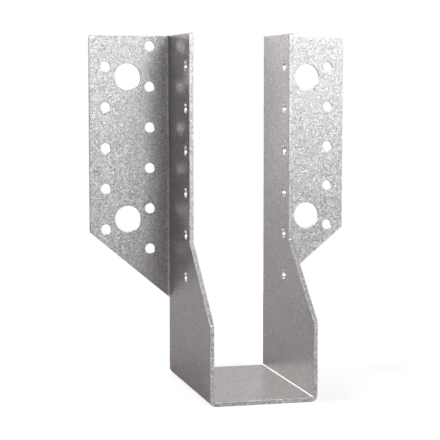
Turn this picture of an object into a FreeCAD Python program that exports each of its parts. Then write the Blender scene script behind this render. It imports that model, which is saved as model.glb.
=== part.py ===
# U bracket (face-fixed joist hanger), folded from one strip of galvanised steel sheet.
#
# Lengths are in millimetres. X runs across the joist, +Y points at the header (the beam that
# carries the joist) and +Z points up. The origin is the middle of the footprint, on the underside,
# so the bracket stands on its seat, and the backs of its two flanges lie in the header's face.
import FreeCAD, Part
import math
import os
import Sketcher

NODE = "u_bracket"
SAME_PLACE = 1e-6

# Driving sizes. Drops are measured down from the top edge of the sheet.
SIZES = {
    # the sheet and its four folds
    "sheet_thickness": 2.0,
    "fold_radius": 1.0,
    "corner_radius": 1.0,
    # the U that carries the joist
    "joist_gap": 46.5,
    "wall_height": 166.0,
    "seat_reach": 86.0,
    "seat_setback": 2.0,
    # the walls above the seat are cut back to a narrower strip
    "upper_reach": 46.0,
    "wall_corner_drop": 97.6,
    # the flanges and their slanted lower ends
    "flange_span": 130.0,
    "flange_corner_drop": 96.3,
    "slant_angle": 40.0,
    # nail holes, all of one size and pitch
    "nail_hole": 5.0,
    "nail_pitch": 20.0,
    "outer_nail_edge": 8.0,
    "outer_nail_drop": 15.0,
    "outer_nail_rows": 5,
    "inner_nail_edge": 30.0,
    "inner_nail_drop": 5.0,
    "inner_nail_rows": 6,
    "joist_nail_edge": 8.0,
    "joist_nail_drop": 15.0,
    "joist_nail_rows": 6,
    # bolt holes for a concrete or steel header
    "bolt_hole": 13.0,
    "bolt_edge": 19.0,
    "bolt_drop": 20.0,
    "bolt_pitch": 70.0,
    "bolt_rows": 2,
}

# Places that follow from the driving sizes, each as one expression.
TOP = "(sizes.sheet_thickness + sizes.wall_height)"
HEADER = "(sizes.seat_reach / 2)"
WALL_OUTER = "(sizes.joist_gap / 2 + sizes.sheet_thickness)"
FOLD_OUTER = "(sizes.fold_radius + sizes.sheet_thickness)"
UPPER_FRONT = f"({HEADER} - sizes.upper_reach)"
WALL_CORNER = f"({TOP} - sizes.wall_corner_drop)"
FLANGE_CORNER = f"({TOP} - sizes.flange_corner_drop)"
SLOPE = "tan(sizes.slant_angle * 1 deg)"
PLACES = {
    # across the joist, from the bracket's middle
    "wall_inner": "sizes.joist_gap / 2",
    "wall_outer": WALL_OUTER,
    "other_wall_inner": "-sizes.joist_gap / 2",
    "other_wall_outer": f"-{WALL_OUTER}",
    "flange_edge": "sizes.flange_span / 2",
    # along the joist, from the middle of the footprint
    "seat_front": f"-{HEADER}",
    "upper_front": UPPER_FRONT,
    "fold_start": f"{HEADER} - {FOLD_OUTER}",
    "wall_back": f"{HEADER} - sizes.seat_setback",
    "flange_front": f"{HEADER} - sizes.sheet_thickness",
    "header_face": HEADER,
    # up, from the underside
    "underside": "0",
    "seat_top": "sizes.sheet_thickness",
    "wall_corner": WALL_CORNER,
    "wall_slant_foot": f"{WALL_CORNER} - (sizes.seat_reach - sizes.upper_reach) * {SLOPE}",
    "flange_corner": FLANGE_CORNER,
    "flange_foot": f"{FLANGE_CORNER} - (sizes.flange_span / 2 - {WALL_OUTER}) * {SLOPE}",
    "top": TOP,
    # radii of the folds, inside and outside the sheet
    "inner_fold": "sizes.fold_radius",
    "outer_fold": FOLD_OUTER,
}

# Hole columns: across and first height as places, then diameter, rows and pitch as sizes.
FLANGE_HOLES = {
    "outer_nail": (
        "sizes.flange_span / 2 - sizes.outer_nail_edge",
        f"{TOP} - sizes.outer_nail_drop",
        "nail_hole",
        "outer_nail_rows",
        "nail_pitch",
    ),
    "inner_nail": (
        "sizes.flange_span / 2 - sizes.inner_nail_edge",
        f"{TOP} - sizes.inner_nail_drop",
        "nail_hole",
        "inner_nail_rows",
        "nail_pitch",
    ),
    "bolt": (
        "sizes.flange_span / 2 - sizes.bolt_edge",
        f"{TOP} - sizes.bolt_drop",
        "bolt_hole",
        "bolt_rows",
        "bolt_pitch",
    ),
}
WALL_HOLES = {
    "joist_nail": (
        f"{UPPER_FRONT} + sizes.joist_nail_edge",
        f"{TOP} - sizes.joist_nail_drop",
        "nail_hole",
        "joist_nail_rows",
        "nail_pitch",
    ),
}

doc = FreeCAD.newDocument("u_bracket")


# The sheet of sizes
def make_sheet(name, sizes):
    """Write each size as a plain number in a cell that carries its name."""
    cells = doc.addObject("Spreadsheet::Sheet", name)
    for row, (alias, value) in enumerate(sizes.items(), start=1):
        cells.set(f"A{row}", alias.replace("_", " "))
        cells.set(f"B{row}", str(value))
        cells.setAlias(f"B{row}", alias)
    doc.recompute()
    return cells


sheet = make_sheet("sizes", SIZES)


def measure(expression):
    """Return what an expression on the sheet comes to, as a plain number."""
    return float(sheet.evalExpression(expression))


PLACE = {name: measure(expression) for name, expression in PLACES.items()}


# Sketching helpers
def make_sketch(body, name, plane, offset=None):
    """Lay a sketch on one of the body's origin planes, moved along its normal by an expression."""
    planes = {feature.Role: feature for feature in body.Origin.OriginFeatures}
    sketch = body.newObject("Sketcher::SketchObject", name)
    sketch.AttachmentSupport = [(planes[plane], "")]
    sketch.MapMode = "FlatFace"
    if offset:
        sketch.setExpression("AttachmentOffset.Base.z", offset)
    return sketch


def bind(sketch, constraint, name, expression):
    """Add a dimension to a sketch and tie it to an expression."""
    index = sketch.addConstraint(constraint)
    sketch.renameConstraint(index, name)
    sketch.setExpression(f"Constraints.{name}", expression)


def add_outline(sketch, label, corners):
    """Draw one closed outline through corners given as (across, up, radius) place names.

    A corner with a radius is rounded by an arc tangent to its two level or upright edges. Every
    other corner is held by two dimensions, and an edge between two arcs by one.
    """
    count = len(corners)
    spots = [FreeCAD.Vector(PLACE[across], PLACE[up], 0) for across, up, _ in corners]
    radii = [PLACE[radius] if radius else 0.0 for _, _, radius in corners]
    first = sketch.GeometryCount
    for index in range(count):
        after = (index + 1) % count
        along = (spots[after] - spots[index]).normalize()
        begin = spots[index] + along * radii[index]
        end = spots[after] - along * radii[after]
        sketch.addGeometry(Part.LineSegment(begin, end), False)
    for index, (across, up, radius) in enumerate(corners):
        edge_in = first + (index - 1) % count
        edge_out = first + index
        if radius:
            add_fold_arc(sketch, f"{label}_{index}", edge_in, edge_out, spots[index], radius)
        else:
            sketch.addConstraint(Sketcher.Constraint("Coincident", edge_in, 2, edge_out, 1))
            across_from_origin = Sketcher.Constraint("DistanceX", -1, 1, edge_out, 1, spots[index].x)
            up_from_origin = Sketcher.Constraint("DistanceY", -1, 1, edge_out, 1, spots[index].y)
            bind(sketch, across_from_origin, f"{label}_{index}_across", PLACES[across])
            bind(sketch, up_from_origin, f"{label}_{index}_up", PLACES[up])
    for index, (_, up, radius) in enumerate(corners):
        _, next_up, next_radius = corners[(index + 1) % count]
        edge = first + index
        if radius or next_radius:
            direction = "Horizontal" if up == next_up else "Vertical"
            sketch.addConstraint(Sketcher.Constraint(direction, edge))
        if radius and next_radius:
            level = Sketcher.Constraint("DistanceY", -1, 1, edge, 1, spots[index].y)
            bind(sketch, level, f"{label}_{index}_level", PLACES[up])


def add_fold_arc(sketch, label, edge_in, edge_out, corner, radius):
    """Join two square edges by a quarter circle tangent to both."""
    into = sketch.Geometry[edge_in].EndPoint
    out = sketch.Geometry[edge_out].StartPoint
    centre = into + out - corner
    turns_left = (corner - into).cross(out - corner).z > 0
    first, near, far = (into, 1, 2) if turns_left else (out, 2, 1)
    start = math.atan2(first.y - centre.y, first.x - centre.x)
    circle = Part.Circle(centre, FreeCAD.Vector(0, 0, 1), PLACE[radius])
    arc = sketch.addGeometry(Part.ArcOfCircle(circle, start, start + math.pi / 2), False)
    sketch.addConstraint(Sketcher.Constraint("Tangent", edge_in, 2, arc, near))
    sketch.addConstraint(Sketcher.Constraint("Tangent", arc, far, edge_out, 1))
    bind(sketch, Sketcher.Constraint("Radius", arc, PLACE[radius]), f"{label}_radius", PLACES[radius])


def add_hole(sketch, label, across, up, diameter):
    """Draw one round hole, its centre held from the origin by two expressions."""
    centre = FreeCAD.Vector(measure(across), measure(up), 0)
    radius = measure(f"sizes.{diameter}") / 2
    circle = sketch.addGeometry(Part.Circle(centre, FreeCAD.Vector(0, 0, 1), radius), False)
    across_from_origin = Sketcher.Constraint("DistanceX", -1, 1, circle, 3, centre.x)
    up_from_origin = Sketcher.Constraint("DistanceY", -1, 1, circle, 3, centre.y)
    size = Sketcher.Constraint("Diameter", circle, 2 * radius)
    bind(sketch, across_from_origin, f"{label}_across", across)
    bind(sketch, up_from_origin, f"{label}_up", up)
    bind(sketch, size, f"{label}_size", f"sizes.{diameter}")


# Features of the sheet
def pad_sketch(body, name, sketch, length, reverse=False):
    """Thicken a sketch by an expression, along its normal unless reversed."""
    pad = body.newObject("PartDesign::Pad", name)
    pad.Profile = sketch
    pad.Reversed = reverse
    pad.setExpression("Length", length)
    doc.recompute()
    return pad


def cut_sketch(body, name, sketch, depth=None, reverse=False):
    """Cut a sketch out of the sheet, to a depth or through everything on both sides."""
    before = body.Shape.Volume
    pocket = body.newObject("PartDesign::Pocket", name)
    pocket.Profile = sketch
    pocket.Reversed = reverse
    if depth:
        pocket.setExpression("Length", depth)
    else:
        pocket.Type = "ThroughAll"
        pocket.SideType = "Symmetric"
    doc.recompute()
    if not pocket.Shape.Volume < before:
        raise RuntimeError(f"{name} cuts nothing away")
    return pocket


def repeat_down(body, name, feature, rows, pitch):
    """Repeat a cut down the bracket, so many rows at an even pitch."""
    upright = next(axis for axis in body.Origin.OriginFeatures if axis.Role == "Z_Axis")
    pattern = body.newObject("PartDesign::LinearPattern", name)
    pattern.Originals = [feature]
    pattern.Direction = (upright, [""])
    pattern.Reversed = True
    pattern.Mode = "Spacing"
    pattern.setExpression("Offset", f"sizes.{pitch}")
    pattern.setExpression("Occurrences", f"sizes.{rows}")
    body.Tip = pattern
    doc.recompute()
    return pattern


def mirror_across(body, name, features):
    """Repeat features on the other side of the joist."""
    middle = next(plane for plane in body.Origin.OriginFeatures if plane.Role == "YZ_Plane")
    mirror = body.newObject("PartDesign::Mirrored", name)
    mirror.Originals = features
    mirror.MirrorPlane = (middle, [""])
    body.Tip = mirror
    doc.recompute()
    return mirror


def sheared_edges(shape, spots):
    """Name the edges whose middle lies at one of the given places, or at its mirror image."""
    names = []
    for index, edge in enumerate(shape.Edges, start=1):
        middle = edge.BoundBox.Center
        middle.x = abs(middle.x)
        if any(middle.isEqual(spot, SAME_PLACE) for spot in spots):
            names.append(f"Edge{index}")
    return names


# The folded strip
def make_bracket():
    """Fold, trim and punch the bracket, as one solid."""
    body = doc.addObject("PartDesign::Body", NODE)
    body.Label = NODE

    # The seat and both walls are one U-shaped section, drawn in the plane that faces the header
    channel_sketch = make_sketch(body, "channel_section", "XZ_Plane", f"-({PLACES['wall_back']})")
    add_outline(
        channel_sketch,
        "channel",
        [
            ("other_wall_outer", "top", None),
            ("other_wall_outer", "underside", "outer_fold"),
            ("wall_outer", "underside", "outer_fold"),
            ("wall_outer", "top", None),
            ("wall_inner", "top", None),
            ("wall_inner", "seat_top", "inner_fold"),
            ("other_wall_inner", "seat_top", "inner_fold"),
            ("other_wall_inner", "top", None),
        ],
    )
    pad_sketch(body, "channel", channel_sketch, "sizes.seat_reach - sizes.seat_setback")

    # The walls narrow above the seat, and stop short of the header where the folds take over
    trim_sketch = make_sketch(body, "wall_trim_outline", "YZ_Plane")
    add_outline(
        trim_sketch,
        "front",
        [
            ("seat_front", "wall_slant_foot", None),
            ("upper_front", "wall_corner", None),
            ("upper_front", "top", None),
            ("seat_front", "top", None),
        ],
    )
    add_outline(
        trim_sketch,
        "back",
        [
            ("fold_start", "flange_foot", None),
            ("wall_back", "flange_foot", None),
            ("wall_back", "top", None),
            ("fold_start", "top", None),
        ],
    )
    cut_sketch(body, "wall_trim", trim_sketch)

    # One upper wall, its fold and its flange are one L-shaped section, seen from above
    flange_sketch = make_sketch(body, "flange_section", "XY_Plane", PLACES["flange_foot"])
    add_outline(
        flange_sketch,
        "flange",
        [
            ("wall_inner", "upper_front", None),
            ("wall_inner", "header_face", "outer_fold"),
            ("flange_edge", "header_face", None),
            ("flange_edge", "flange_front", None),
            ("wall_outer", "flange_front", "inner_fold"),
            ("wall_outer", "upper_front", None),
        ],
    )
    flange_height = f"{PLACES['top']} - ({PLACES['flange_foot']})"
    flange = pad_sketch(body, "flange", flange_sketch, flange_height)

    # The flange's lower end slants up from the wall to its outer edge
    slant_sketch = make_sketch(body, "flange_slant_outline", "XZ_Plane")
    add_outline(
        slant_sketch,
        "slant",
        [
            ("wall_outer", "flange_foot", None),
            ("flange_edge", "flange_foot", None),
            ("flange_edge", "flange_corner", None),
        ],
    )
    slant = cut_sketch(body, "flange_slant", slant_sketch)
    mirrored = mirror_across(body, "other_flange", [flange, slant])

    # The sheared corners of the strip are slightly rounded
    wall_middle = (PLACE["wall_inner"] + PLACE["wall_outer"]) / 2
    flange_middle = (PLACE["flange_front"] + PLACE["header_face"]) / 2
    corners = [
        FreeCAD.Vector(PLACE["flange_edge"], flange_middle, PLACE["top"]),
        FreeCAD.Vector(PLACE["flange_edge"], flange_middle, PLACE["flange_corner"]),
        FreeCAD.Vector(wall_middle, PLACE["upper_front"], PLACE["top"]),
        FreeCAD.Vector(wall_middle, PLACE["upper_front"], PLACE["wall_corner"]),
        FreeCAD.Vector(wall_middle, PLACE["seat_front"], PLACE["wall_slant_foot"]),
    ]
    rounding = body.newObject("PartDesign::Fillet", "sheared_corners")
    rounding.Base = (mirrored, sheared_edges(mirrored.Shape, corners))
    rounding.setExpression("Radius", "sizes.corner_radius")
    doc.recompute()

    # Both flanges are punched for nails and bolts, from the header's side
    for name, (across, up, diameter, rows, pitch) in FLANGE_HOLES.items():
        hole_sketch = make_sketch(body, f"{name}_hole_centres", "XZ_Plane", f"-({PLACES['header_face']})")
        add_hole(hole_sketch, "near", across, up, diameter)
        add_hole(hole_sketch, "far", f"-({across})", up, diameter)
        holes = cut_sketch(body, f"{name}_holes", hole_sketch, "sizes.sheet_thickness", reverse=True)
        repeat_down(body, f"{name}_column", holes, rows, pitch)

    # Both walls are punched for the nails that hold the joist
    for name, (along, up, diameter, rows, pitch) in WALL_HOLES.items():
        hole_sketch = make_sketch(body, f"{name}_hole_centres", "YZ_Plane")
        add_hole(hole_sketch, "wall", along, up, diameter)
        holes = cut_sketch(body, f"{name}_holes", hole_sketch)
        repeat_down(body, f"{name}_column", holes, rows, pitch)
    return body


bracket = make_bracket()
doc.recompute()

# Nothing is written unless every object is sound and the bracket is one solid
for item in doc.Objects:
    if "Invalid" in item.State or "Error" in item.State:
        raise RuntimeError(f"{item.Name} did not build")
if bracket.Shape.isNull() or not bracket.Shape.isValid():
    raise RuntimeError("the bracket has no valid shape")
if len(bracket.Shape.Solids) != 1:
    raise RuntimeError("the bracket is not one solid")

os.makedirs("parts", exist_ok=True)
bracket.Shape.exportStep(f"parts/{NODE}.step")

box = bracket.Shape.BoundBox
print(f"{NODE}: {box.XLength:.2f} x {box.YLength:.2f} x {box.ZLength:.2f} mm")
print(f"steel: {bracket.Shape.Volume / 1000:.3f} cubic centimetres, {len(bracket.Shape.Faces)} faces")
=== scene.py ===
# %% [markdown]
# # A folded steel U bracket, dressed for its portrait
#
# This bracket carries the end of a timber joist. It is one strip of 2 mm galvanised sheet: punched
# flat, cut to shape, then folded four times into a seat, two tall walls and two flanges. The solid
# model fixes every size. Here the sheet is modelled again with rounder holes, smoother folds and
# softened edges, and gets its zinc finish, a pale studio and a camera.

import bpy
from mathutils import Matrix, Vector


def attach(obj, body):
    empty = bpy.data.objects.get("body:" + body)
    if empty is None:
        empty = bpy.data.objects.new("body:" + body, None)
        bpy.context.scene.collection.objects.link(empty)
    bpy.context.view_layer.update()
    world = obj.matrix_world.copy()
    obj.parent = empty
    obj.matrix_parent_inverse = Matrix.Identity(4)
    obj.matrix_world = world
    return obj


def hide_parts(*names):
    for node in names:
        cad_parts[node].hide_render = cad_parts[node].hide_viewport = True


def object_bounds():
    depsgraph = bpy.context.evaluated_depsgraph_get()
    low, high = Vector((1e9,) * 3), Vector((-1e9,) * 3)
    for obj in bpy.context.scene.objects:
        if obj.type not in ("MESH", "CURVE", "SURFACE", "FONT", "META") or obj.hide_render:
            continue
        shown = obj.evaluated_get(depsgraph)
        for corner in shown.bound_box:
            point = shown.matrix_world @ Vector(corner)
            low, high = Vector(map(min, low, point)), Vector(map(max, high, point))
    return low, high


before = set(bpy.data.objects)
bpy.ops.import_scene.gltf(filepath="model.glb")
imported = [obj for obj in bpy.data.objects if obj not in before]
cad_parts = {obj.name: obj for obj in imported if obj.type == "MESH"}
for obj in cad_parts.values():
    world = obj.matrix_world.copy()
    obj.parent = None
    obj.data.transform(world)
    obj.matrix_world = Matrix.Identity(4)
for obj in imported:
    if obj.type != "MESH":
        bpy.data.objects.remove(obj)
cad_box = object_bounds()
cad_size = cad_box[1] - cad_box[0]
print("the solid model is", [round(1000 * side, 1) for side in cad_size], "mm")

# %% [markdown]
# Blender works in metres and the drawing was made in millimetres, so every length is written in
# millimetres times MM. The right half of the bracket is modelled first, and these are its places:
# X runs out from the middle of the joist, Y towards the header, Z up from the underside.

# %% The sizes of the sheet
import math

import bmesh
import bpy
from mathutils import Vector

MM = 0.001
THICKNESS = 2.0 * MM
INNER_FOLD = 1.0 * MM
OUTER_FOLD = INNER_FOLD + THICKNESS
WALL_INNER = 23.25 * MM
WALL_OUTER = WALL_INNER + THICKNESS
SEAT_FRONT = -43.0 * MM
WALL_BACK = 41.0 * MM
UPPER_FRONT = -3.0 * MM
FOLD_START = 40.0 * MM
TOP = 168.0 * MM
WALL_CORNER = 70.4 * MM
FLANGE_EDGE = 65.0 * MM
FLANGE_CORNER = 71.7 * MM
SLANT = math.radians(40.0)
SLOPE = math.tan(SLANT)
WALL_FOOT = WALL_CORNER - (UPPER_FRONT - SEAT_FRONT) * SLOPE
FLANGE_FOOT = FLANGE_CORNER - (FLANGE_EDGE - WALL_OUTER) * SLOPE
HEADER_FACE = FOLD_START + OUTER_FOLD
QUARTER_TURN = math.radians(90.0)
FOLD_STEPS = 12
print("the wall's slant starts", round(WALL_FOOT / MM, 2), "mm up, the flange's", round(FLANGE_FOOT / MM, 2))

# %% [markdown]
# Two helpers do what a hand does with the mouse: one picks up a piece to work on, the other selects
# the corners, edges or faces that pass a test of their place. A third makes a square block between
# two corners. Everything is deselected first, because the loaded model comes in selected.

# %% Helpers for picking and for blocks
SAME_PLACE = 0.001 * MM


def work_on(piece):
    """Make this the only selected piece and open it for editing."""
    if bpy.context.mode != "OBJECT":
        bpy.ops.object.mode_set(mode="OBJECT")
    bpy.ops.object.select_all(action="DESELECT")
    piece.select_set(True)
    bpy.context.view_layer.objects.active = piece
    bpy.ops.object.mode_set(mode="EDIT")


def put_down():
    """Leave edit mode."""
    bpy.ops.object.mode_set(mode="OBJECT")


def middle_of(item):
    """Return the middle of a vertex, an edge or a face."""
    corners = [item] if isinstance(item, bmesh.types.BMVert) else list(item.verts)
    return sum((corner.co for corner in corners[1:]), corners[0].co.copy()) / len(corners)


def pick(kind, test):
    """Select only the vertices, edges or faces whose middle passes the test, and count them."""
    bpy.ops.mesh.select_mode(type=kind)
    bpy.ops.mesh.select_all(action="DESELECT")
    mesh = bmesh.from_edit_mesh(bpy.context.object.data)
    family = {"VERT": mesh.verts, "EDGE": mesh.edges, "FACE": mesh.faces}[kind]
    chosen = [item for item in family if test(item, middle_of(item))]
    for item in chosen:
        item.select_set(True)
    mesh.select_flush_mode()
    bmesh.update_edit_mesh(bpy.context.object.data)
    return len(chosen)


def make_block(name, low, high):
    """Add a square block between two corners, with its place in its mesh."""
    bpy.ops.object.select_all(action="DESELECT")
    centre = [(near + far) / 2 for near, far in zip(low, high)]
    sides = [far - near for near, far in zip(low, high)]
    bpy.ops.mesh.primitive_cube_add(size=1, location=centre, scale=sides)
    bpy.ops.object.transform_apply(location=True, rotation=True, scale=True)
    bpy.context.object.name = name
    return bpy.context.object


def same(a, b):
    """Tell whether two lengths are the same, to a thousandth of a millimetre."""
    return abs(a - b) < SAME_PLACE


print("helpers ready")

# %% [markdown]
# The seat is the flat floor that the joist stands on. It starts as a thin block, half as wide as the
# joist. The fold beside it could be made by bevelling a sharp corner, but spinning the end face round
# the fold's own centre keeps the sheet exactly as thick as it is, just as a press brake does. The
# spin operator turns the other way from the usual rule, so its axis points along +Y here.

# %% Seat and lower fold
sheet = make_block("folded_sheet", (0, SEAT_FRONT, 0), (WALL_INNER - INNER_FOLD, WALL_BACK, THICKNESS))
work_on(sheet)
pick("FACE", lambda face, at: face.normal.x > 0.9)
bpy.ops.mesh.spin(
    steps=FOLD_STEPS,
    angle=QUARTER_TURN,
    center=(WALL_INNER - INNER_FOLD, 0, OUTER_FOLD),
    axis=(0, 1, 0),
)
print("seat and fold:", len(bmesh.from_edit_mesh(sheet.data).faces), "faces")

# %% [markdown]
# The wall grows upwards from the fold in four pulls. At each level the front of its top face is slid
# back, which makes the slanted front of the real wall without any cutting. Where the flange begins,
# the strip steps in by 1 mm at the back, so the top face is split there and only its front part is
# pulled on upwards.

# %% Wall with its slanted front


def pull_up(height):
    """Extrude the selected top face up to a height."""
    mesh = bmesh.from_edit_mesh(bpy.context.object.data)
    level = max(vertex.co.z for vertex in mesh.verts if vertex.select)
    bpy.ops.mesh.extrude_region_move(TRANSFORM_OT_translate={"value": (0, 0, height - level)})


def slide_front(height, place):
    """Slide the front edge of the face at this height to a new place, and select the face again."""
    mesh = bmesh.from_edit_mesh(bpy.context.object.data)
    front = min(vertex.co.y for vertex in mesh.verts if same(vertex.co.z, height))
    pick("VERT", lambda vertex, at: same(at.z, height) and same(at.y, front))
    bpy.ops.transform.translate(value=(0, place - front, 0))
    pick("FACE", lambda face, at: face.normal.z > 0.9 and same(at.z, height))


pull_up(WALL_FOOT)
pull_up(FLANGE_FOOT)
slide_front(FLANGE_FOOT, SEAT_FRONT + (FLANGE_FOOT - WALL_FOOT) / SLOPE)
bpy.ops.mesh.bisect(plane_co=(0, FOLD_START, 0), plane_no=(0, 1, 0))
pick("FACE", lambda face, at: face.normal.z > 0.9 and same(at.z, FLANGE_FOOT) and at.y < FOLD_START)
pull_up(WALL_CORNER)
slide_front(WALL_CORNER, UPPER_FRONT)
pull_up(TOP)
put_down()
print("wall: top at", round(max(vertex.co.z for vertex in sheet.data.vertices) / MM, 1), "mm")

# %% [markdown]
# The flange turns outwards at the back of the wall. It is made as a second piece that overlaps the
# wall by 10 mm, spun round its own fold and pulled out to the side, and its lower end is cut off along
# a slant. Joining the two with a Boolean leaves one closed sheet, as in the real bracket, which has no
# seam there. Flat faces that meet in one plane are then dissolved into one.

# %% Flange, joined to the wall
OVERLAP = 10.0 * MM
FLAT = math.radians(0.5)


def apply_boolean(piece, other, operation):
    """Join another piece to this one, or cut it out, and remove the other piece."""
    bpy.ops.object.select_all(action="DESELECT")
    piece.select_set(True)
    bpy.context.view_layer.objects.active = piece
    step = piece.modifiers.new("boolean", "BOOLEAN")
    step.operation = operation
    step.solver = "EXACT"
    step.object = other
    bpy.ops.object.modifier_apply(modifier=step.name)
    bpy.data.objects.remove(other)


flange = make_block(
    "flange",
    (WALL_INNER, FOLD_START - OVERLAP, FLANGE_FOOT),
    (WALL_OUTER, FOLD_START, TOP),
)
work_on(flange)
pick("FACE", lambda face, at: face.normal.y > 0.9)
bpy.ops.mesh.spin(
    steps=FOLD_STEPS,
    angle=QUARTER_TURN,
    center=(WALL_OUTER + INNER_FOLD, FOLD_START, 0),
    axis=(0, 0, 1),
)
flat_width = FLANGE_EDGE - WALL_OUTER - INNER_FOLD
bpy.ops.mesh.extrude_region_move(TRANSFORM_OT_translate={"value": (flat_width, 0, 0)})
bpy.ops.mesh.select_all(action="SELECT")
bpy.ops.mesh.bisect(
    plane_co=(WALL_OUTER, 0, FLANGE_FOOT),
    plane_no=(math.sin(SLANT), 0, -math.cos(SLANT)),
    use_fill=True,
    clear_outer=True,
)
put_down()
apply_boolean(sheet, flange, "UNION")
work_on(sheet)
bpy.ops.mesh.select_all(action="SELECT")
bpy.ops.mesh.dissolve_limited(angle_limit=FLAT)
put_down()
print("right half:", len(sheet.data.polygons), "faces")

# %% [markdown]
# The shears leave the strip's corners slightly rounded. Each is one short edge through the sheet, so
# it is picked by its place and bevelled. Where the outline turns by only 50 degrees the corner is
# crisper, and its rounding reaches less far along the edges than it does at a square corner.

# %% Rounded corners of the strip
CORNER_RADIUS = 1.0 * MM
BLUNT_RADIUS = 0.4 * MM
BLUNT_TURN = math.radians(50.0)
BLUNT_REACH = BLUNT_RADIUS * math.tan(BLUNT_TURN / 2)
CORNER_STEPS = 6
SQUARE_CORNERS = [("flange", FLANGE_EDGE, TOP), ("wall", UPPER_FRONT, TOP)]
BLUNT_CORNERS = [
    ("flange", FLANGE_EDGE, FLANGE_CORNER),
    ("wall", UPPER_FRONT, WALL_CORNER),
    ("wall", SEAT_FRONT, WALL_FOOT),
]


def through_sheet(edge, at, corners):
    """Tell whether an edge runs through the sheet at one of the given corners."""
    if not same(edge.calc_length(), THICKNESS):
        return False
    for part, place, height in corners:
        across = at.x if part == "flange" else at.y
        if same(across, place) and same(at.z, height):
            return True
    return False


work_on(sheet)
for corners, reach in ((SQUARE_CORNERS, CORNER_RADIUS), (BLUNT_CORNERS, BLUNT_REACH)):
    found = pick("EDGE", lambda edge, at: through_sheet(edge, at, corners))
    bpy.ops.mesh.bevel(offset=reach, segments=CORNER_STEPS, profile=0.5, affect="EDGES")
    print(found, "corners rounded, reaching", round(reach / MM, 2), "mm")
put_down()

# %% [markdown]
# All holes are punched in one go. A punch is modelled once for each size, a plain round bar with many
# sides so that its rim looks round up close. It is copied to every place, each copy with its own mesh,
# and the copies are joined to one tool that a single Boolean takes out of the sheet. Each column of
# holes has its distance in from the sheet's edge and its distance down from the top.

# %% Punched holes
NAIL_RADIUS = 2.5 * MM
BOLT_RADIUS = 6.5 * MM
PITCH = 20.0 * MM
BOLT_PITCH = 70.0 * MM
WALL_NAILS_IN = 8.0 * MM
OUTER_NAILS_IN = 8.0 * MM
INNER_NAILS_IN = 30.0 * MM
BOLTS_IN = 19.0 * MM
NAILS_DOWN = 15.0 * MM
INNER_NAILS_DOWN = 5.0 * MM
BOLTS_DOWN = 20.0 * MM
PUNCH_LENGTH = 6.0 * MM
NAIL_SIDES = 64
BOLT_SIDES = 128
ALONG_X = (0, QUARTER_TURN, 0)
ALONG_Y = (QUARTER_TURN, 0, 0)
WALL_MIDDLE = (WALL_INNER + WALL_OUTER) / 2
FLANGE_MIDDLE = HEADER_FACE - THICKNESS / 2


def make_punch(name, radius, sides, turned):
    """Add one round bar at the origin, turned to lie along its axis."""
    bpy.ops.object.select_all(action="DESELECT")
    bpy.ops.mesh.primitive_cylinder_add(
        vertices=sides, radius=radius, depth=PUNCH_LENGTH, rotation=turned
    )
    bpy.ops.object.transform_apply(location=True, rotation=True, scale=True)
    bpy.context.object.name = name
    return bpy.context.object


def punch_column(punch, radius, top_place, rows, pitch):
    """Copy a punch down a column, each copy with its own mesh, and note where each hole is."""
    copies = []
    in_wall = same(top_place[0], WALL_MIDDLE)
    for row in range(rows):
        height = top_place[2] - row * pitch
        copy = punch.copy()
        copy.data = punch.data.copy()
        copy.location = (top_place[0], top_place[1], height)
        bpy.context.collection.objects.link(copy)
        copies.append(copy)
        if in_wall:
            hole_places.append(("wall", top_place[1], height, radius))
        else:
            hole_places.append(("flange", top_place[0], height, radius))
    return copies


wall_punch = make_punch("wall_punch", NAIL_RADIUS, NAIL_SIDES, ALONG_X)
nail_punch = make_punch("nail_punch", NAIL_RADIUS, NAIL_SIDES, ALONG_Y)
bolt_punch = make_punch("bolt_punch", BOLT_RADIUS, BOLT_SIDES, ALONG_Y)
hole_places = []
wall_top = (WALL_MIDDLE, UPPER_FRONT + WALL_NAILS_IN, TOP - NAILS_DOWN)
outer_top = (FLANGE_EDGE - OUTER_NAILS_IN, FLANGE_MIDDLE, TOP - NAILS_DOWN)
inner_top = (FLANGE_EDGE - INNER_NAILS_IN, FLANGE_MIDDLE, TOP - INNER_NAILS_DOWN)
bolt_top = (FLANGE_EDGE - BOLTS_IN, FLANGE_MIDDLE, TOP - BOLTS_DOWN)
punches = punch_column(wall_punch, NAIL_RADIUS, wall_top, 6, PITCH)
punches += punch_column(nail_punch, NAIL_RADIUS, outer_top, 5, PITCH)
punches += punch_column(nail_punch, NAIL_RADIUS, inner_top, 6, PITCH)
punches += punch_column(bolt_punch, BOLT_RADIUS, bolt_top, 2, BOLT_PITCH)
for punch in (wall_punch, nail_punch, bolt_punch):
    bpy.data.objects.remove(punch)
bpy.ops.object.select_all(action="DESELECT")
for punch in punches:
    punch.select_set(True)
bpy.context.view_layer.objects.active = punches[0]
print(len(punches), "holes to punch")
bpy.ops.object.join()
bpy.ops.object.transform_apply(location=True, rotation=True, scale=True)
apply_boolean(sheet, bpy.context.object, "DIFFERENCE")
print("punched half:", len(sheet.data.polygons), "faces")

# %% [markdown]
# The other half is a mirror image. The face in the middle of the seat is taken away first, so that the
# two halves meet edge to edge and are welded there, and the seam between them is dissolved.

# %% The mirrored half
work_on(sheet)
pick("FACE", lambda face, at: same(at.x, 0) and face.normal.x < -0.9)
bpy.ops.mesh.delete(type="FACE")
put_down()
mirror = sheet.modifiers.new("mirror", "MIRROR")
mirror.use_axis = (True, False, False)
mirror.use_mirror_merge = True
mirror.merge_threshold = SAME_PLACE
bpy.ops.object.modifier_apply(modifier=mirror.name)
work_on(sheet)
seam = pick("EDGE", lambda edge, at: all(same(vertex.co.x, 0) for vertex in edge.verts))
bpy.ops.mesh.dissolve_edges()
bpy.ops.mesh.select_all(action="SELECT")
bpy.ops.mesh.normals_make_consistent(inside=False)
put_down()
print("whole sheet:", len(sheet.data.polygons), "faces,", seam, "seam edges dissolved")

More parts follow.
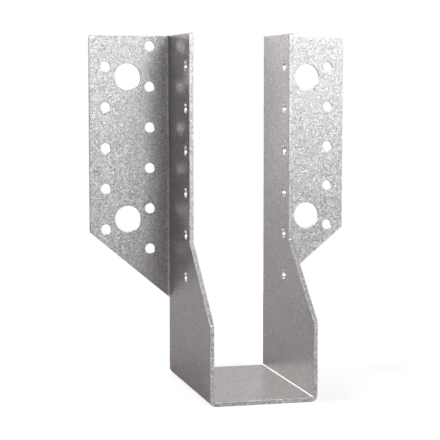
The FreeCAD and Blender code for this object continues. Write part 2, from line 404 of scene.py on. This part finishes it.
# %% [markdown]
# A sheared edge looks different from the rolled faces of the sheet: it is torn, paler and mottled, and
# the inside of a punched hole is rubbed smooth. So the narrow faces all round the strip and those
# inside the holes get materials of their own. A face belongs to the two rolled sides if it looks
# across a wall, up or down at the seat, or along a flange, or if it is part of a fold. The other
# narrow faces belong to a hole if they lie closer to its middle than its own radius.

# %% Which faces are cut edges, and which line the holes
galvanised = bpy.data.materials.new("galvanised_skin")
sheared = bpy.data.materials.new("sheared_edge")
rubbed = bpy.data.materials.new("rubbed_hole")
sheet.data.materials.clear()
for material in (galvanised, sheared, rubbed):
    sheet.data.materials.append(material)
SQUARE_ON = 0.99
EDGE_ON = 0.1
FOLD_EDGE = WALL_OUTER + INNER_FOLD


def is_rolled(face, at):
    """Tell whether a face is one of the sheet's two rolled sides, and not a cut edge or a hole."""
    normal = face.normal
    out = abs(at.x)
    if at.z < OUTER_FOLD:
        return abs(normal.y) < EDGE_ON
    if at.y > FOLD_START and out > WALL_INNER and at.z > FLANGE_FOOT:
        if out < FOLD_EDGE:
            return abs(normal.z) < EDGE_ON
        return abs(normal.y) > SQUARE_ON
    return abs(normal.x) > SQUARE_ON


def lines_hole(face, at):
    """Tell whether a narrow face lies on the wall of a punched hole."""
    if is_rolled(face, at):
        return False
    for kind, across, height, radius in hole_places:
        sideways = at.y if kind == "wall" else abs(at.x)
        if math.hypot(sideways - across, at.z - height) < radius + SAME_PLACE:
            return True
    return False


work_on(sheet)
cut_faces = pick("FACE", lambda face, at: not is_rolled(face, at))
sheet.active_material_index = 1
bpy.ops.object.material_slot_assign()
hole_faces = pick("FACE", lines_hole)
sheet.active_material_index = 2
bpy.ops.object.material_slot_assign()
put_down()
print(cut_faces, "cut faces,", hole_faces, "of them in holes, of", len(sheet.data.polygons))

# %% [markdown]
# No real edge is perfectly sharp. A small bevel lets every edge and hole rim catch a line of light.
# The Booleans leave a few corners almost on top of each other, where a bevel would fold back on itself,
# so those are welded first. Bevel weights then say which edges to soften: all the sharp ones, but not
# the outline of the little ledge at the flange's foot, where edges lie closer together than the bevel
# is wide. The bevel's new faces are smoothed, while the large flat faces keep their own straight
# normals, which is what hardened normals do.

# %% Softened edges
EDGE_SOFTNESS = 0.15 * MM
EDGE_STEPS = 2
SHARP = math.radians(30.0)
WELD = 0.02 * MM


def to_soften(edge, at):
    """Tell whether an edge is sharp, and not part of the ledge at the flange's foot."""
    return edge.calc_face_angle(0) > SHARP and not same(at.z, FLANGE_FOOT)


work_on(sheet)
bpy.ops.mesh.select_all(action="SELECT")
before = len(bmesh.from_edit_mesh(sheet.data).verts)
bpy.ops.mesh.remove_doubles(threshold=WELD)
bpy.ops.mesh.dissolve_limited(angle_limit=FLAT, delimit={"MATERIAL"})
bpy.ops.mesh.normals_make_consistent(inside=False)
after = len(bmesh.from_edit_mesh(sheet.data).verts)
print(before - after, "spare corners welded or dissolved")
sharp_edges = pick("EDGE", to_soften)
bpy.ops.transform.edge_bevelweight(value=1.0)
put_down()
bpy.ops.object.shade_smooth_by_angle(angle=SHARP)
soften = sheet.modifiers.new("soften", "BEVEL")
soften.width = EDGE_SOFTNESS
soften.segments = EDGE_STEPS
soften.limit_method = "WEIGHT"
soften.harden_normals = True
soften.use_clamp_overlap = False
bpy.ops.object.modifier_apply(modifier=soften.name)
print(sharp_edges, "edges softened, finished sheet:", len(sheet.data.polygons), "faces")

# %% [markdown]
# The materials are built from nodes. A few helpers add and join them, so that each material below
# reads as a short list of patterns. All patterns read Object coordinates, so they keep their real size
# on every face.

# %% Node helpers


def add_node(tree, kind, **settings):
    """Add a node and set its properties and its unlinked inputs by name."""
    node = tree.nodes.new(kind)
    for name, value in settings.items():
        if name in node.inputs:
            node.inputs[name].default_value = value
        else:
            setattr(node, name, value)
    return node


def link(tree, from_node, output, to_node, socket):
    """Join an output to an input."""
    tree.links.new(from_node.outputs[output], to_node.inputs[socket])


def start_material(material):
    """Clear a material's nodes and return its tree with a shader, an output and coordinates."""
    material.use_nodes = True
    tree = material.node_tree
    tree.nodes.clear()
    shader = add_node(tree, "ShaderNodeBsdfPrincipled")
    output = add_node(tree, "ShaderNodeOutputMaterial")
    coordinates = add_node(tree, "ShaderNodeTexCoord")
    link(tree, shader, "BSDF", output, "Surface")
    return tree, shader, coordinates


def grey_ramp(tree, stops):
    """Add a colour ramp from (place, colour) pairs."""
    ramp = add_node(tree, "ShaderNodeValToRGB")
    while len(ramp.color_ramp.elements) < len(stops):
        ramp.color_ramp.elements.new(0.5)
    for element, (place, colour) in zip(ramp.color_ramp.elements, stops):
        element.position = place
        element.color = (*colour, 1.0)
    return ramp


def vary_roughness(tree, shader, pattern, output, smoothest, roughest):
    """Let a pattern move the roughness between two values."""
    gloss = add_node(tree, "ShaderNodeMapRange")
    gloss.inputs["To Min"].default_value = smoothest
    gloss.inputs["To Max"].default_value = roughest
    link(tree, pattern, output, gloss, "Value")
    link(tree, gloss, "Result", shader, "Roughness")


print("node helpers ready")

# %% [markdown]
# Galvanised sheet has a skin of zinc crystals. At this size they are fine grains, well under a
# millimetre across, and each throws the light a little differently. A cell pattern gives each grain its
# own tilt, brightness and roughness, a fine noise adds the relief between them, and a slow noise
# makes the faint clouds that every zinc bath leaves. The tint is what the metal gives back at a
# glancing angle, where zinc stays greyer than a mirror.

# %% Zinc skin
SKIN_TINT = (0.472, 0.443, 0.443, 1.0)
SKIN_ROUGHNESS = (0.27, 0.35)
GRAIN_SCALE = 2300.0
GRAIN_TILT = 0.115
RELIEF_SCALE = 1500.0
RELIEF_HEIGHT = 0.01 * MM
CLOUD_SCALE = 45.0
tree, shader, coordinates = start_material(galvanised)
shader.inputs["Metallic"].default_value = 1.0
shader.inputs["Specular Tint"].default_value = SKIN_TINT
grains = add_node(tree, "ShaderNodeTexVoronoi", Scale=GRAIN_SCALE)
split = add_node(tree, "ShaderNodeSeparateColor")
relief = add_node(tree, "ShaderNodeTexNoise", Scale=RELIEF_SCALE, Detail=2.0, Roughness=0.6)
clouds = add_node(tree, "ShaderNodeTexNoise", Scale=CLOUD_SCALE, Detail=5.0, Roughness=0.65)
for pattern in (grains, relief, clouds):
    link(tree, coordinates, "Object", pattern, "Vector")
link(tree, grains, "Color", split, "Color")
grain_colour = grey_ramp(
    tree, [(0.0, (0.52, 0.51, 0.51)), (0.5, (0.715, 0.705, 0.705)), (1.0, (0.91, 0.90, 0.90))]
)
link(tree, split, "Red", grain_colour, "Fac")
cloud_shade = grey_ramp(tree, [(0.3, (0.93, 0.93, 0.93)), (0.7, (1.0, 1.0, 1.0))])
link(tree, clouds, "Fac", cloud_shade, "Fac")
shaded = add_node(tree, "ShaderNodeMix", data_type="RGBA", blend_type="MULTIPLY")
shaded.inputs["Factor"].default_value = 1.0
link(tree, grain_colour, "Color", shaded, "A")
link(tree, cloud_shade, "Color", shaded, "B")
link(tree, shaded, "Result", shader, "Base Color")
vary_roughness(tree, shader, split, "Green", *SKIN_ROUGHNESS)
bump = add_node(tree, "ShaderNodeBump", Strength=1.0, Distance=RELIEF_HEIGHT)
link(tree, relief, "Fac", bump, "Height")
centred = add_node(tree, "ShaderNodeVectorMath", operation="SUBTRACT")
centred.inputs[1].default_value = (0.5, 0.5, 0.5)
tilted = add_node(tree, "ShaderNodeVectorMath", operation="MULTIPLY_ADD")
tilted.inputs[1].default_value = (GRAIN_TILT, GRAIN_TILT, GRAIN_TILT)
facing = add_node(tree, "ShaderNodeVectorMath", operation="NORMALIZE")
link(tree, grains, "Color", centred, 0)
link(tree, centred, 0, tilted, 0)
link(tree, bump, "Normal", tilted, 2)
link(tree, tilted, 0, facing, 0)
link(tree, facing, 0, shader, "Normal")
print("zinc skin:", len(tree.nodes), "nodes")

# %% [markdown]
# Where the shears went through, the steel tears: the edge is rougher, with pale smears of zinc between
# darker patches. A coarser noise gives the smears.

# %% Sheared edge
SHEARED_TINT = (0.80, 0.79, 0.79, 1.0)
SHEARED_ROUGHNESS = (0.36, 0.50)
SMEAR_SCALE = 900.0
SMEAR_HEIGHT = 0.04 * MM
tree, shader, coordinates = start_material(sheared)
shader.inputs["Metallic"].default_value = 1.0
shader.inputs["Specular Tint"].default_value = SHEARED_TINT
smears = add_node(tree, "ShaderNodeTexNoise", Scale=SMEAR_SCALE, Detail=3.0, Roughness=0.65)
link(tree, coordinates, "Object", smears, "Vector")
edge_colour = grey_ramp(
    tree, [(0.3, (0.28, 0.28, 0.28)), (0.48, (0.50, 0.50, 0.495)), (0.7, (0.77, 0.77, 0.76))]
)
link(tree, smears, "Fac", edge_colour, "Fac")
link(tree, edge_colour, "Color", shader, "Base Color")
vary_roughness(tree, shader, smears, "Fac", *SHEARED_ROUGHNESS)
bump = add_node(tree, "ShaderNodeBump", Strength=1.0, Distance=SMEAR_HEIGHT)
link(tree, smears, "Fac", bump, "Height")
link(tree, bump, "Normal", shader, "Normal")
print("sheared edge:", len(tree.nodes), "nodes")

# %% [markdown]
# A punch rubs the inside of its hole smooth as it goes through, so the holes shine and have fine
# lines along the stroke. Squeezing a noise along the hole would need a direction for each hole, so a
# fine even noise in the roughness stands for the rubbed lines.

# %% Rubbed holes
RUBBED_TINT = (0.76, 0.75, 0.75, 1.0)
RUBBED_ROUGHNESS = (0.28, 0.36)
RUB_SCALE = 2500.0
tree, shader, coordinates = start_material(rubbed)
shader.inputs["Metallic"].default_value = 1.0
shader.inputs["Specular Tint"].default_value = RUBBED_TINT
rub = add_node(tree, "ShaderNodeTexNoise", Scale=RUB_SCALE, Detail=2.0)
link(tree, coordinates, "Object", rub, "Vector")
rubbed_colour = grey_ramp(tree, [(0.3, (0.66, 0.66, 0.655)), (0.7, (0.78, 0.78, 0.77))])
link(tree, rub, "Fac", rubbed_colour, "Fac")
link(tree, rubbed_colour, "Color", shader, "Base Color")
vary_roughness(tree, shader, rub, "Fac", *RUBBED_ROUGHNESS)
print("rubbed holes:", len(tree.nodes), "nodes")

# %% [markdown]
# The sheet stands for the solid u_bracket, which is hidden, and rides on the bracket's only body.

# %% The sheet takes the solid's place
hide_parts("u_bracket")
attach(sheet, "root")

# %% [markdown]
# The camera looks down a little, from the bracket's left, through a long lens. Its place, turn and
# lens were worked out from the photograph's hole centres and edges, so the picture's lines fall where
# the photograph's do.

# %% Camera
CAMERA_PLACE = (-0.18454, -0.68676, 0.14343)
LOOK_DOWN = math.radians(5.10)
LOOK_RIGHT = math.radians(14.285)
FOCAL_LENGTH_IN_MM = 123.02
SENSOR_IN_MM = 36.0
NEAREST_SEEN = 0.01
FARTHEST_SEEN = 50.0
lens = bpy.data.cameras.new("long_lens")
lens.lens = FOCAL_LENGTH_IN_MM
lens.sensor_width = SENSOR_IN_MM
lens.clip_start = NEAREST_SEEN
lens.clip_end = FARTHEST_SEEN
camera = bpy.data.objects.new("camera", lens)
camera.location = CAMERA_PLACE
camera.rotation_euler = (QUARTER_TURN - LOOK_DOWN, 0, -LOOK_RIGHT)
bpy.context.collection.objects.link(camera)
bpy.context.scene.camera = camera
print("camera with a", lens.lens, "mm lens")

# %% [markdown]
# The floor is a wide sheet of paper. The camera sees it lifted nearly to white, with the bracket's
# soft shadow, and it fades to pure white away from the bracket, so no horizon shows. The metal sees
# a share of that white too, over a grey. Both are painted darker towards the camera's side: painted
# shade in the floor's colour and glow, standing in for a studio floor that gets less light beyond the lit
# paper.

# %% Floor
FLOOR_SIZE = 12.0
FLOOR_DROP = 0.05 * MM
WHITE_PAPER = 0.25
LIFT = 0.76
SHADOW_REACH = 0.10
WHITE_BEYOND = 0.60
# The grey darkens from behind to in front: the front value is painted shade.
GREY_BEHIND = 0.375
PAINTED_SHADE_GREY_IN_FRONT = 0.12
GREY_WARMTH = (1.07, 1.0, 1.0)
FRONT_FROM = -0.35
BEHIND_FROM = 0.0
METAL_SHARE = 0.24
SHARE_FROM = 0.0
SHARE_FULL = 0.17
bpy.ops.object.select_all(action="DESELECT")
bpy.ops.mesh.primitive_plane_add(size=FLOOR_SIZE, location=(0, 0, -FLOOR_DROP))
floor = bpy.context.object
floor.name = "floor"
paper = bpy.data.materials.new("paper")
paper.use_nodes = True
tree = paper.node_tree
tree.nodes.clear()
output = add_node(tree, "ShaderNodeOutputMaterial")
coordinates = add_node(tree, "ShaderNodeTexCoord")


def spread(from_node, output_name, start, stop, low, high):
    """Turn a place on the floor into a value that runs smoothly from low to high."""
    node = add_node(tree, "ShaderNodeMapRange", interpolation_type="SMOOTHSTEP")
    for name, value in (("From Min", start), ("From Max", stop), ("To Min", low), ("To Max", high)):
        node.inputs[name].default_value = value
    link(tree, from_node, output_name, node, "Value")
    return node


def mixed(factor_node, output_name, first, second):
    """Mix two shaders by another node's value."""
    node = add_node(tree, "ShaderNodeMixShader")
    link(tree, factor_node, output_name, node, "Fac")
    tree.links.new(first.outputs[0], node.inputs[1])
    tree.links.new(second.outputs[0], node.inputs[2])
    return node


parts = add_node(tree, "ShaderNodeSeparateXYZ")
link(tree, coordinates, "Object", parts, "Vector")
# Painted shade: the grey that the metal and diffuse light see is darker towards the camera's side.
greyness_and_painted_shade = spread(parts, "Y", FRONT_FROM, BEHIND_FROM, PAINTED_SHADE_GREY_IN_FRONT, GREY_BEHIND)
warm_grey_with_painted_shade = add_node(tree, "ShaderNodeVectorMath", operation="SCALE")
warm_grey_with_painted_shade.inputs[0].default_value = GREY_WARMTH
link(tree, greyness_and_painted_shade, "Result", warm_grey_with_painted_shade, "Scale")
painted_shade_grey = add_node(tree, "ShaderNodeBsdfDiffuse")
link(tree, warm_grey_with_painted_shade, 0, painted_shade_grey, "Color")
matt = add_node(tree, "ShaderNodeBsdfDiffuse", Color=(WHITE_PAPER, WHITE_PAPER, WHITE_PAPER, 1.0))
lift = add_node(tree, "ShaderNodeEmission", Color=(1.0, 1.0, 1.0, 1.0), Strength=LIFT)
lifted = add_node(tree, "ShaderNodeAddShader")
tree.links.new(matt.outputs[0], lifted.inputs[0])
tree.links.new(lift.outputs[0], lifted.inputs[1])
pure_white = add_node(tree, "ShaderNodeEmission", Color=(1.0, 1.0, 1.0, 1.0), Strength=1.0)
away = add_node(tree, "ShaderNodeVectorMath", operation="LENGTH")
link(tree, coordinates, "Object", away, 0)
fade = spread(away, "Value", SHADOW_REACH, WHITE_BEYOND, 0.0, 1.0)
white = mixed(fade, "Result", lifted, pure_white)
rays = add_node(tree, "ShaderNodeLightPath")
mirrored = add_node(tree, "ShaderNodeMath", operation="ADD")
link(tree, rays, "Is Glossy Ray", mirrored, 0)
link(tree, rays, "Is Transmission Ray", mirrored, 1)
# Painted shade: the metal's share of white is nothing in front and grows behind the bracket.
share_with_painted_shade = spread(parts, "Y", SHARE_FROM, SHARE_FULL, 0.0, METAL_SHARE)
seen = add_node(tree, "ShaderNodeMath", operation="MULTIPLY_ADD")
link(tree, mirrored, 0, seen, 0)
link(tree, share_with_painted_shade, "Result", seen, 1)
link(tree, rays, "Is Camera Ray", seen, 2)
choose = mixed(seen, 0, painted_shade_grey, white)
link(tree, choose, 0, output, "Surface")
floor.data.materials.append(paper)
print("floor laid")

# %% [markdown]
# The room is plain white to the camera, and to rays that pass through glass. The metal sees the same
# white glow behind the bracket, and a studio that gets darker towards the camera's side, because
# bright walls all round would leave the metal flat.

# %% Room
BACKDROP_GLOW = 1.6
BACKDROP_REACH = 0.5
BACKDROP_MIDDLE = (0.337, 0.925, 0.174)
room = bpy.data.worlds.new("room")
bpy.context.scene.world = room
room.use_nodes = True
tree = room.node_tree
tree.nodes.clear()
output = add_node(tree, "ShaderNodeOutputWorld")
white = add_node(tree, "ShaderNodeBackground", Color=(1.0, 1.0, 1.0, 1.0), Strength=1.0)
glow = add_node(tree, "ShaderNodeBackground", Color=(1.0, 1.0, 1.0, 1.0))
choose = add_node(tree, "ShaderNodeMixShader")
rays = add_node(tree, "ShaderNodeLightPath")
direction = add_node(tree, "ShaderNodeTexCoord")
off_middle = add_node(tree, "ShaderNodeVectorMath", operation="DISTANCE")
off_middle.inputs[1].default_value = BACKDROP_MIDDLE
fade = add_node(tree, "ShaderNodeMapRange", interpolation_type="SMOOTHSTEP")
fade.inputs["From Max"].default_value = BACKDROP_REACH
fade.inputs["To Min"].default_value = BACKDROP_GLOW
fade.inputs["To Max"].default_value = 0.0
link(tree, direction, "Generated", off_middle, 0)
link(tree, off_middle, "Value", fade, "Value")
link(tree, fade, "Result", glow, "Strength")
seen = add_node(tree, "ShaderNodeMath", operation="ADD")
link(tree, rays, "Is Camera Ray", seen, 0)
link(tree, rays, "Is Transmission Ray", seen, 1)
link(tree, seen, 0, choose, "Fac")
tree.links.new(glow.outputs[0], choose.inputs[1])
tree.links.new(white.outputs[0], choose.inputs[2])
link(tree, choose, 0, output, "Surface")
print("room ready")

# %% [markdown]
# The main lamp is a softbox high on the camera's right. It is small enough for the left wall to shade
# part of the left flange. Weaker lamps stand low in front, for the flanges, on the left, for the round
# of the folds, and behind, where the walls and the seat see them, because each flat face of bare metal
# mirrors one part of the room.
# Each lamp is placed by its compass direction from the bracket, counted from the header's side
# towards the right, and by its height in degrees.

# %% Lamps
LAMP_DISTANCE = 2.0
LAMP_AIM = Vector((0, 0, 90 * MM))
LAMPS = [
    ("key", 155, 34, 0.90, 12.8),
    ("high_left", -90, 60, 0.80, 12.5),
    ("behind_left_high", -35, 35, 0.80, 5.2),
    ("behind_high", -4, 38, 0.60, 3.9),
    ("behind_low", -14, 14, 0.60, 3.9),
    ("low_front_right", 150, 4, 0.50, 2.65),
    ("low_front_left", -165, 12, 0.50, 2.4),
    ("low_front", 170, 4, 0.50, 2.0),
    ("behind_left", -22, 0, 0.40, 1.9),
    ("overhead", 60, 76, 0.90, 1.6),
    ("left_low", -104, 2, 0.60, 0.4),
]


def soft_lamp(name, compass, height, size, brightness):
    """Hang a square soft lamp that faces the bracket, with the given brightness of its surface."""
    light = bpy.data.lights.new(name, "AREA")
    light.shape = "SQUARE"
    light.size = size
    light.energy = brightness * math.pi * size * size
    turn, rise = math.radians(compass), math.radians(height)
    away = Vector((math.sin(turn) * math.cos(rise), math.cos(turn) * math.cos(rise), math.sin(rise)))
    lamp = bpy.data.objects.new(name, light)
    lamp.location = LAMP_AIM + LAMP_DISTANCE * away
    lamp.rotation_euler = away.to_track_quat("Z", "Y").to_euler()
    lamp.visible_camera = False
    bpy.context.collection.objects.link(lamp)
    return lamp


for lamp_settings in LAMPS:
    soft_lamp(*lamp_settings)
print(len(LAMPS), "lamps hung")

# %% [markdown]
# The last line sets the colour transform to Standard.

# %% Colour transform
bpy.context.scene.view_settings.view_transform = "Standard"
